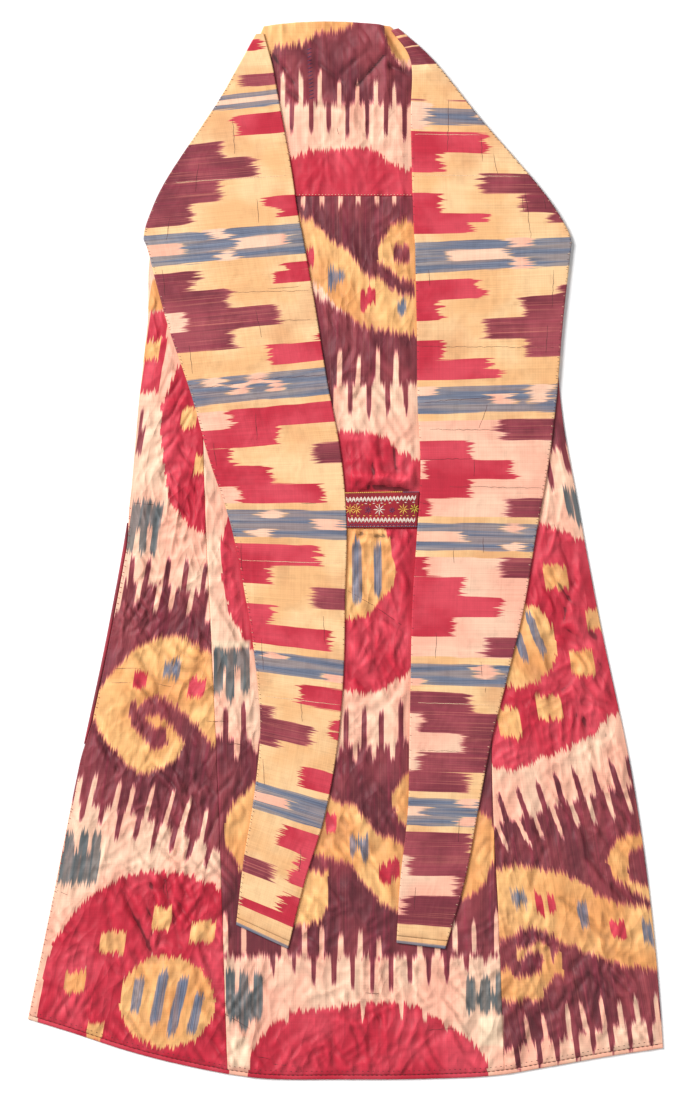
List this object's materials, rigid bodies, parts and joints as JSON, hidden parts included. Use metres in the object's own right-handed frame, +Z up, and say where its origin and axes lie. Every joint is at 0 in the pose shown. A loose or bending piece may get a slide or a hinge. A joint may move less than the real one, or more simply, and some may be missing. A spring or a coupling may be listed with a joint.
{
  "type": "silk ikat paranja robe, laid flat",
  "caption": "Long patterned silk robe lying flat with its back up, its long narrow empty sleeves folded over the back and linked by a small embroidered band.",
  "frame": {"origin": "on the surface that the robe lies on, under the middle of its bounding box", "axes": "+Z up from the surface, +Y towards the top of the robe, +X to the right as the robe's back is seen from above"},
  "size_m": [0.8444, 1.4062, 0.0114],
  "materials": {
    "body_silk": "crinkled silk with a soft sheen",
    "sleeve_silk": "flat silk with a soft sheen",
    "band_cloth": "matt, embroidered",
    "blue_binding": "matt",
    "crimson_binding": "satin"
  },
  "bodies": {
    "root": {"back_upper": "body_silk", "back_centre": "body_silk", "side_left": "body_silk", "side_right": "body_silk", "front_left": "body_silk", "front_right": "body_silk", "sleeve_left": "sleeve_silk", "sleeve_right": "sleeve_silk", "link_band": "band_cloth", "cuff_binding_left": "blue_binding", "cuff_binding_right": "blue_binding", "hem_binding": "crimson_binding", "side_edging_left": "crimson_binding"}
  },
  "joints": []
}
